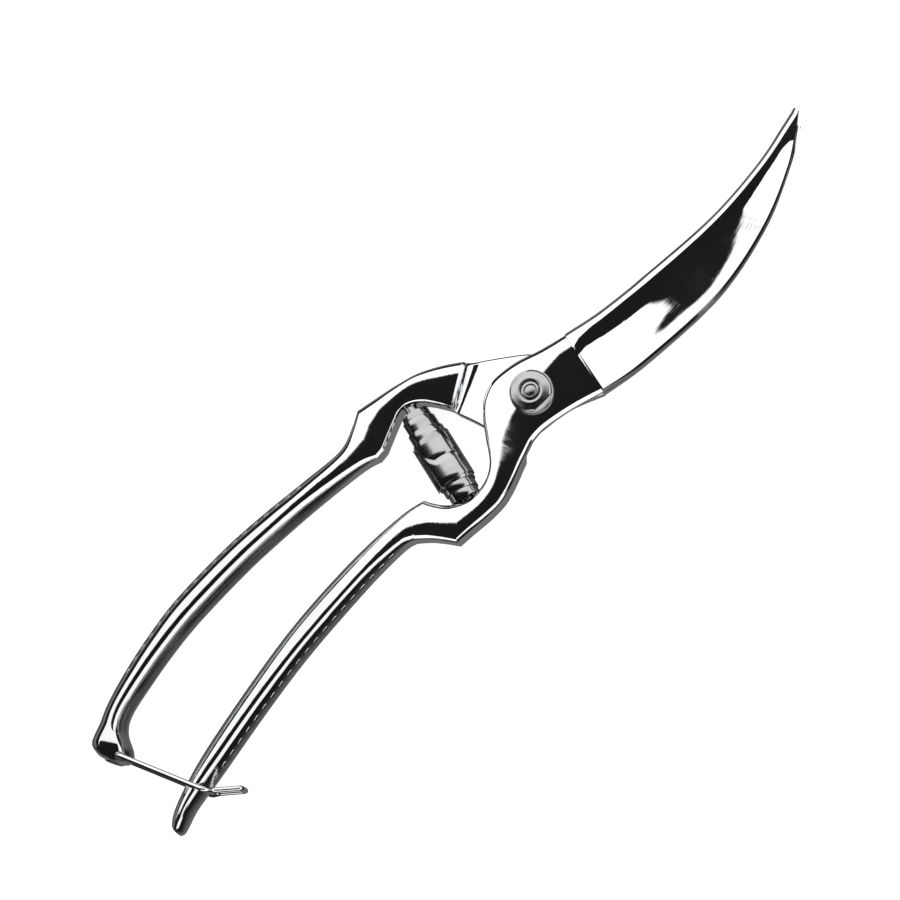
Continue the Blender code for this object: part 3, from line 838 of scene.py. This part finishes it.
def make_spring(segments=64):
    """The strip wound outwards from one peg to the waist and inwards to the other."""
    waist, along, upper, lower = spring_axis()
    side = along.cross(Vector((0, 0, 1)))
    inner_radius = PEG_RADIUS + PEG_PLAY + STRIP_THICKNESS / 2
    half = STRIP_THICKNESS / 2
    rings, shares = [], []
    for k in range(-TURNS * segments, TURNS * segments + 1):
        turn = k / segments
        angle = math.tau * turn + math.pi
        out = side * math.cos(angle) + Vector((0, 0, 1)) * math.sin(angle)
        radius = SPRING_RADIUS + (inner_radius - SPRING_RADIUS) * abs(turn) / TURNS
        near, far = strip_edges(turn, upper, lower)
        ring = []
        for share in (0.0, 0.02, 0.25, 0.5, 0.75, 0.98, 1.0):
            inset = 0.45 * half if share in (0.0, 1.0) else 0
            ring.append(waist + out * (radius + half - inset) + along * lerp(near, far, share))
        for share in (1.0, 0.98, 0.5, 0.02, 0.0):
            inset = 0.45 * half if share in (0.0, 1.0) else 0
            ring.append(waist + out * (radius - half + inset) + along * lerp(near, far, share))
        rings.append([tuple(point) for point in ring])
        shares.append(0.5 - 0.5 * turn / TURNS)
    spring = skin("volute_spring_strip", rings, 50)
    return spring, np.repeat(shares, len(rings[0]))


# --- Catch ------------------------------------------------------------------------------------------


def with_round_corners(points, cut_back, steps=10):
    """The route through the points with each corner bent smoothly, starting this far before it."""
    path = [points[0]]
    for before, corner, after in zip(points, points[1:], points[2:]):
        start = corner + (before - corner).normalized() * cut_back
        end = corner + (after - corner).normalized() * cut_back
        for k in range(steps + 1):
            t = k / steps
            path.append(start * (1 - t) ** 2 + corner * 2 * t * (1 - t) + end * t**2)
    return path + [points[-1]]


def catch_path():
    """One wire: from the hinge hole over the levers' front, round the tab, and back over the rear."""
    run = Vector((math.cos(CATCH_HEADING), math.sin(CATCH_HEADING), 0))
    tab_heading = CATCH_HEADING + KINK_TURN
    tab = Vector((math.cos(tab_heading), math.sin(tab_heading), 0))
    hinge = Vector((*HINGE, 0))
    edge = [Vector((end_x(distance), y)) for distance, y in LATCH_EDGE]
    kink = intersect_line_line_2d(HINGE, HINGE + run.xy * HANDLE_LENGTH, *edge).to_3d()
    half = (FRONT_FACE - REAR_FACE) / 2
    rise = half + GAP + WIRE_RADIUS
    narrow = TAB_SPACING / 2
    front = [
        (hinge, half - WIRE_END_DEPTH),
        (hinge, rise),
        (kink, rise),
        (kink + tab * (rise - narrow), narrow),
        (kink + tab * (TAB_LENGTH - WIRE_RADIUS), narrow),
    ]
    rear = [(place, -height) for place, height in reversed(front)]
    points = [place + Vector((0, 0, MIDDLE + height)) for place, height in front + rear]
    return with_round_corners(points, 1.1)


def tube(name, path, radius, limits, sides=24, sharp=40):
    """A round tube that follows the path, carried along without twisting, with rounded ends."""
    path = [Vector(p) for p in path]
    tangents = []
    for i in range(len(path)):
        tangents.append((path[min(i + 1, len(path) - 1)] - path[max(i - 1, 0)]).normalized())
    normal = tangents[0].orthogonal().normalized()
    rings = []

    def ring_at(centre, tangent, size):
        side = tangent.cross(normal)
        return [
            tuple(centre + (normal * math.cos(a) + side * math.sin(a)) * size)
            for a in (math.tau * k / sides for k in range(sides))
        ]

    ends = [(math.cos(math.radians(a)), math.sin(math.radians(a))) for a in (80, 60, 40, 20)]
    for shrink, reach in ends:
        centre = path[0] + tangents[0] * radius * (1 - reach) * 0.5
        rings.append(ring_at(centre, tangents[0], radius * shrink))
    for i, (centre, tangent) in enumerate(zip(path, tangents)):
        if i:
            turn = tangents[i - 1].rotation_difference(tangent)
            normal = (turn @ normal).normalized()
        if i == 0:
            centre = centre + tangent * radius * 0.5
        if i == len(path) - 1:
            centre = centre - tangent * radius * 0.5
        rings.append(ring_at(centre, tangent, radius))
    for shrink, reach in reversed(ends):
        centre = path[-1] - tangents[-1] * radius * (1 - reach) * 0.5
        rings.append(ring_at(centre, tangents[-1], radius * shrink))
    return skin(name, rings, sharp, limits=limits)


# --- Pivot ------------------------------------------------------------------------------------------


def arc(centre, radius, start, end, steps):
    points = []
    for k in range(steps + 1):
        angle = math.radians(lerp(start, end, k / steps))
        points.append((centre[0] + radius * math.cos(angle), centre[1] + radius * math.sin(angle)))
    return points


def make_nut():
    """The round nut: a flat ring round the hole, a shallow cone and a rounded shoulder."""
    base, top = nut_low.z, nut_high.z
    hole = 2.65
    cone_end = NUT_RADIUS - 1.35
    profile = [(hole, base + 0.3), (hole, top - 0.28)]
    profile += [(hole + 0.12, top - 0.08), (hole + 0.3, top), (hole + 0.75, top), (hole + 0.95, top - 0.03)]
    for t in (k / 6 for k in range(1, 7)):
        profile.append((lerp(hole + 0.95, cone_end, t), lerp(top - 0.03, top - 0.36, t)))
    profile += arc((NUT_RADIUS - 1.45, top - 1.78), 1.42, 82, 8, 9)
    profile += [(NUT_RADIUS, base + 0.25), (NUT_RADIUS - 0.2, base), (hole + 0.3, base), (hole, base + 0.3)]
    nut = turned("round_nut", profile)
    flats = []
    for side in (1, -1):
        bm = bmesh.new()
        bmesh.ops.create_cube(bm, size=1.0)
        bmesh.ops.scale(bm, vec=(3 * NUT_RADIUS * MM, NUT_RADIUS * MM, 2.2 * MM), verts=bm.verts)
        centre = Vector((0, side * (2 * NUT_RADIUS - 3.0 + NUT_RADIUS) / 2, top)) * MM
        bmesh.ops.translate(bm, vec=centre, verts=bm.verts)
        flats.append(finished(f"flat_{side}", bm))
    return cut_away(nut, flats, 30)


def make_bolt():
    """The bolt, turned round throughout: its head, shank, and the end that shows in the nut; no square neck
    is shaped.
    """
    top, shank_top = bolt_high.z, FRONT_FACE + GAP / 2
    end, shank, head, head_top = 2.35, 3.2, bolt_high.x, REAR_FACE - GAP
    profile = [(0, top - 0.12), (0.8, top - 0.16), (1.35, top - 0.3), (1.5, top - 0.42), (1.62, top - 0.3)]
    profile += [(1.72, top - 0.1), (1.85, top), (2.05, top), (end - 0.08, top - 0.12), (end, top - 0.3)]
    profile += [(end, shank_top), (shank, shank_top), (shank, head_top), (head - 0.15, head_top)]
    profile += [(head, head_top - 0.15), (head, 0.45), (head - 0.12, 0.16), (head - 0.4, 0.0), (0, 0)]
    return turned("pivot_bolt_turned", profile)


def make_peg(name, seat, other, recess):
    """A turned peg with a chamfered nose, a shallow collar where it leaves the lever, and its seat."""
    out = (seat - other).normalized()
    nose, root = seat - out * PEG_REACH, seat + out * (recess + PEG_SEAT)
    length = (root - nose).length
    r = PEG_RADIUS
    profile = [(0, 0), (r - 0.7, 0), (r - 0.5, 0.08), (r - 0.1, 0.5), (r - 0.02, 0.7), (r - 0.02, 1.1)]
    profile += [(r - 0.14, 1.2), (r - 0.14, 1.45), (r, 1.55), (r, length - 0.3), (r - 0.3, length)]
    profile.append((0, length))
    peg = turned(name, profile, 64)
    turn = Vector((0, 0, 1)).rotation_difference(out).to_matrix().to_4x4()
    peg.data.transform(Matrix.Translation(nose * MM) @ turn)
    return peg


# --- Geometry Nodes ---------------------------------------------------------------------------------


class Weave:
    """Short ways to build a Geometry Nodes tree with named inputs."""

    def __init__(self, name):
        self.tree = bpy.data.node_groups.new(name, "GeometryNodeTree")
        self.tree.interface.new_socket("Geometry", in_out="INPUT", socket_type="NodeSocketGeometry")
        self.tree.interface.new_socket("Geometry", in_out="OUTPUT", socket_type="NodeSocketGeometry")
        self.inputs = {}
        self.start = None

    def size(self, name, value):
        socket = self.tree.interface.new_socket(name, in_out="INPUT", socket_type="NodeSocketFloat")
        socket.default_value = value
        self.inputs[name] = socket.identifier

    def begin(self):
        self.start = self.tree.nodes.new("NodeGroupInput")

    def add(self, kind, **values):
        node = self.tree.nodes.new(kind)
        for key, value in values.items():
            setattr(node, key, value)
        return node

    def link(self, source, target):
        self.tree.links.new(source, target)

    def finish(self, geometry, material):
        realize = self.add("GeometryNodeRealizeInstances")
        paint = self.add("GeometryNodeSetMaterial")
        paint.inputs["Material"].default_value = material
        end = self.add("NodeGroupOutput")
        self.link(geometry, realize.inputs["Geometry"])
        self.link(realize.outputs["Geometry"], paint.inputs["Geometry"])
        self.link(paint.outputs["Geometry"], end.inputs["Geometry"])
        return self.tree


def grown(name, guide, weave, values):
    """Runs the tree on the guide mesh and keeps the result as a plain mesh."""
    modifier = guide.modifiers.new(name, "NODES")
    modifier.node_group = weave.tree
    for label, value in values.items():
        modifier[weave.inputs[label]] = value
    graph_now = bpy.context.evaluated_depsgraph_get()
    mesh = bpy.data.meshes.new_from_object(guide.evaluated_get(graph_now))
    mesh.name = name
    bpy.data.objects.remove(guide)
    mesh.shade_smooth()
    obj = bpy.data.objects.new(name, mesh)
    bpy.context.scene.collection.objects.link(obj)
    return obj


def guide_points(name, places, outward, along):
    """A mesh of loose points that carry the way out of the surface and the way along it."""
    mesh = bpy.data.meshes.new(name)
    mesh.from_pydata([tuple(Vector(p) * MM) for p in places], [], [])
    for label, vectors in (("outward", outward), ("along", along)):
        attribute = mesh.attributes.new(label, "FLOAT_VECTOR", "POINT")
        attribute.data.foreach_set("vector", np.array(vectors, np.float32).ravel())
    obj = bpy.data.objects.new(name, mesh)
    bpy.context.scene.collection.objects.link(obj)
    return obj


def stud_tree(material):
    """Low oval studs, one on each guide point, turned to the surface."""
    w = Weave("grip_studs")
    for label, length in STUD_SIZE.items():
        w.size(label, length * MM)
    w.begin()
    ball = w.add("GeometryNodeMeshUVSphere")
    ball.inputs["Segments"].default_value = 20
    ball.inputs["Rings"].default_value = 10
    ball.inputs["Radius"].default_value = 1.0
    named = []
    for label in ("outward", "along"):
        node = w.add("GeometryNodeInputNamedAttribute", data_type="FLOAT_VECTOR")
        node.inputs["Name"].default_value = label
        named.append(node)
    turn = w.add("FunctionNodeAxesToRotation", primary_axis="Z", secondary_axis="X")
    w.link(named[0].outputs["Attribute"], turn.inputs["Primary Axis"])
    w.link(named[1].outputs["Attribute"], turn.inputs["Secondary Axis"])
    size = w.add("ShaderNodeCombineXYZ")
    for axis, label in zip("XYZ", STUD_SIZE):
        w.link(w.start.outputs[label], size.inputs[axis])
    copies = w.add("GeometryNodeInstanceOnPoints")
    w.link(w.start.outputs["Geometry"], copies.inputs["Points"])
    w.link(ball.outputs["Mesh"], copies.inputs["Instance"])
    w.link(turn.outputs["Rotation"], copies.inputs["Rotation"])
    w.link(size.outputs["Vector"], copies.inputs["Scale"])
    w.finish(copies.outputs["Instances"], material)
    return w


def grip_guides(rings, first, last, points):
    """Where the studs stand on a grip: places STUD_PITCH apart on one line along the flank, with the
    way out of the surface and the way along it. points are the ring's point and its two neighbours."""
    rings = np.array(rings, dtype=float)
    line = rings[:, points[1]]
    ahead = np.gradient(line, axis=0)
    ahead /= np.linalg.norm(ahead, axis=1)[:, None]
    out = np.cross(rings[:, points[2]] - rings[:, points[0]], ahead)
    keep = (line[:, 0] < first) & (line[:, 0] > last)
    line, ahead, out = line[keep], ahead[keep], out[keep]
    out /= np.linalg.norm(out, axis=1)[:, None]
    middle = np.array([line[:, 0].mean(), 5.0, MIDDLE])
    run = np.concatenate([[0], np.cumsum(np.linalg.norm(np.diff(line, axis=0), axis=1))])
    spots = np.arange(0, run[-1], STUD_PITCH)

    def sample(values):
        return np.stack([np.interp(spots, run, values[:, axis]) for axis in range(3)], axis=1)

    places, ways = sample(line), sample(out)
    if np.mean(np.sum(ways * (places - middle), axis=1)) < 0:
        ways = -ways
    return places, ways, sample(ahead)


# --- Studio -----------------------------------------------------------------------------------------

CAMERA_TILT = math.radians(17)
CAMERA_DISTANCE = 1.5
CAMERA_LENS = 228
VIEW_CENTRE = Vector((-26.0, 3.9, 12.3))
FLOOR_DROP = 0.2
FLOOR_GLOW = 0.86
SOFTBOX_GLOW = 1.35
ROOM_GLOW = 0.012


def make_camera():
    sin, cos = math.sin(CAMERA_TILT), math.cos(CAMERA_TILT)
    back = Vector((0, -sin, cos))
    right = Vector((1, -cos, -sin)).normalized()
    up = back.cross(right)
    data = bpy.data.cameras.new("camera")
    data.lens = CAMERA_LENS
    data.sensor_width = 36
    camera = bpy.data.objects.new("camera", data)
    bpy.context.scene.collection.objects.link(camera)
    turn = Matrix((right, up, back)).transposed()
    camera.matrix_world = Matrix.Translation(VIEW_CENTRE * MM + back * CAMERA_DISTANCE) @ turn.to_4x4()
    bpy.context.scene.camera = camera


def make_studio():
    """A white sheet under the shears in a dark room with three softboxes, at the rear, front and side. The
    rear wall low down and the room's bottom glow faintly."""
    bm = bmesh.new()
    bmesh.ops.create_grid(bm, x_segments=1, y_segments=1, size=8.0)
    floor = finished("studio_floor", bm)
    floor.location.z = -FLOOR_DROP * MM
    t = Tree("studio_paper", (0.9, 0.9, 0.9), 0.0, 0.9)
    t.shader.inputs["Emission Color"].default_value = (1, 1, 1, 1)
    t.shader.inputs["Emission Strength"].default_value = FLOOR_GLOW
    floor.data.materials.append(t.material)
    floor.visible_glossy = False

    world = bpy.data.worlds.new("studio")
    bpy.context.scene.world = world
    world.use_nodes = True
    tree = world.node_tree
    back = tree.nodes["Background"]

    def node(kind, **values):
        made = tree.nodes.new(kind)
        for key, value in values.items():
            setattr(made, key, value)
        return made

    def ramp(value, start, end, low, high):
        made = node("ShaderNodeMapRange", interpolation_type="SMOOTHSTEP")
        numbers = (start, end, low, high)
        for label, number in zip(("From Min", "From Max", "To Min", "To Max"), numbers):
            made.inputs[label].default_value = number
        tree.links.new(value, made.inputs["Value"])
        return made.outputs["Result"]

    def combine(operation, a, b):
        made = node("ShaderNodeMath", operation=operation)
        for socket, value in zip(made.inputs, (a, b)):
            if isinstance(value, (int, float)):
                socket.default_value = value
            else:
                tree.links.new(value, socket)
        return made.outputs[0]

    way = node("ShaderNodeTexCoord").outputs["Generated"]
    xyz = node("ShaderNodeSeparateXYZ")
    tree.links.new(way, xyz.inputs["Vector"])
    height = xyz.outputs["Z"]

    def towards(x, y):
        """How far the way leans towards (x, y)."""
        part = combine("MULTIPLY", xyz.outputs["X"], x)
        return combine("ADD", part, combine("MULTIPLY", xyz.outputs["Y"], y))

    lean = towards(-0.45, -0.89)
    side = towards(0.75, -0.65)
    rear_box = combine("MULTIPLY", ramp(lean, -0.19, -0.15, 1, 0), ramp(height, 0.26, 0.40, 0, 1))
    front_box = combine("MULTIPLY", ramp(lean, 0.64, 0.70, 0, 1), ramp(height, 0.12, 0.2, 0, 1))
    side_box = combine("MULTIPLY", ramp(side, 0.57, 0.63, 0, 1), ramp(height, 0.24, 0.34, 0, 1))
    boxes = combine("MAXIMUM", combine("ADD", rear_box, front_box), side_box)
    bottom = ramp(height, -0.45, -0.88, 0, 0.16)
    rear_wall = combine("MULTIPLY", ramp(height, -0.08, -0.16, 0, 0.2), ramp(height, -0.62, -0.5, 0, 1))
    rear_wall = combine("MULTIPLY", rear_wall, ramp(lean, -0.2, 0.0, 1, 0))
    faint = combine("ADD", combine("MAXIMUM", bottom, rear_wall), ROOM_GLOW)
    light = combine("ADD", combine("MULTIPLY", boxes, SOFTBOX_GLOW), faint)
    tree.links.new(light, back.inputs["Strength"])
    back.inputs["Color"].default_value = (1, 1, 1, 1)
    bpy.context.scene.view_settings.view_transform = "Standard"


# --- Building ---------------------------------------------------------------------------------------


def give(obj, material):
    obj.data.materials.clear()
    obj.data.materials.append(material)
    return obj


chrome = polished_chrome()
satin = satin_steel()
strip_steel = spring_steel()
wire_steel = bright_wire()

make_camera()
make_studio()

front_rings = front_rows()
front_guides = grip_guides(front_rings, *FRONT_STUDS, (1, 2, 3))
tip_rings = rounded_end(front_rings[0], (0.8, 0.4, 0), 0.3)[::-1]
front_rings = tip_rings + front_rings
front_rings += rounded_end(front_rings[-1], (-0.9, -0.2, 0), 0.6)
grind_line = BLADE_STEPS * BLADE_SPANS + len(tip_rings)
grind_rows = (grind_line, grind_line + 1, grind_line + 2)
front_limits = [[*corner.xy, z] for corner, z in zip((front_low, front_high), LEVER_HEIGHTS)]
front = skin("front_lever_forging", front_rings, crisp=grind_rows, limits=front_limits)
pivot_hole = rod("pivot_hole", (0, 0, BELOW_ALL), (0, 0, ABOVE_ALL), PIVOT_HOLE_RADIUS, 96)
cut_away(front, [pivot_hole])
give(front, chrome)
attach(front, "front_lever")
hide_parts("front_lever")

rear_rings = rear_rows()
flank_end = sum(TOP_ZONES) - 3
rear_guides = grip_guides(rear_rings, *REAR_STUDS, (flank_end - 1, flank_end, flank_end + 1))
rear_rings = rounded_end(rear_rings[0], (-0.9, -0.4, 0), 0.5)[::-1] + rear_rings
rear_limits = [[*corner.xy, z] for corner, z in zip((rear_low, rear_high), LEVER_HEIGHTS)]
rear = skin("rear_lever_forging", rear_rings, limits=rear_limits)
hinge_hole = rod("hinge_hole", (*HINGE, BELOW_ALL), (*HINGE, ABOVE_ALL), WIRE_RADIUS + GAP, 48)
notch = rod("bone_notch", (*NOTCH_PLACE, BELOW_ALL), (*NOTCH_PLACE, ABOVE_ALL), NOTCH_RADIUS, 64)
cut_away(rear, [hinge_hole, notch])
give(rear, chrome)
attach(rear, "rear_lever")
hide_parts("rear_lever")

nut = give(make_nut(), satin)
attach(nut, "rear_lever")
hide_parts("pivot_nut")
bolt = give(make_bolt(), satin)
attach(bolt, "rear_lever")
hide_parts("pivot_bolt")

spring, spring_shares = make_spring()
give(spring, strip_steel)
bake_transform(spring)
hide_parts("volute_spring")

catch_limits = (list(catch_low), list(catch_high))
catch = give(tube("catch_wire", catch_path(), WIRE_RADIUS, catch_limits), wire_steel)
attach(catch, "wire_catch")
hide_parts("wire_catch")

studs = stud_tree(chrome)
for name, body, guides in (("front", "front_lever", front_guides), ("rear", "rear_lever", rear_guides)):
    places, out, along = guides
    guide = guide_points(f"{name}_guide", places, out, along)
    sizes = {label: length * MM for label, length in STUD_SIZE.items()}
    row = grown(f"{name}_grip_studs", guide, studs, sizes)
    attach(row, body)

for node, body, seat, other, recess in (
    ("rear_spring_peg", "rear_lever", SPRING_TOP, SPRING_FOOT, TOP_RECESS),
    ("front_spring_peg", "front_lever", SPRING_FOOT, SPRING_TOP, FOOT_RECESS),
):
    peg = give(make_peg(f"{node}_turned", seat, other, recess), satin)
    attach(peg, body)
    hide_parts(node)
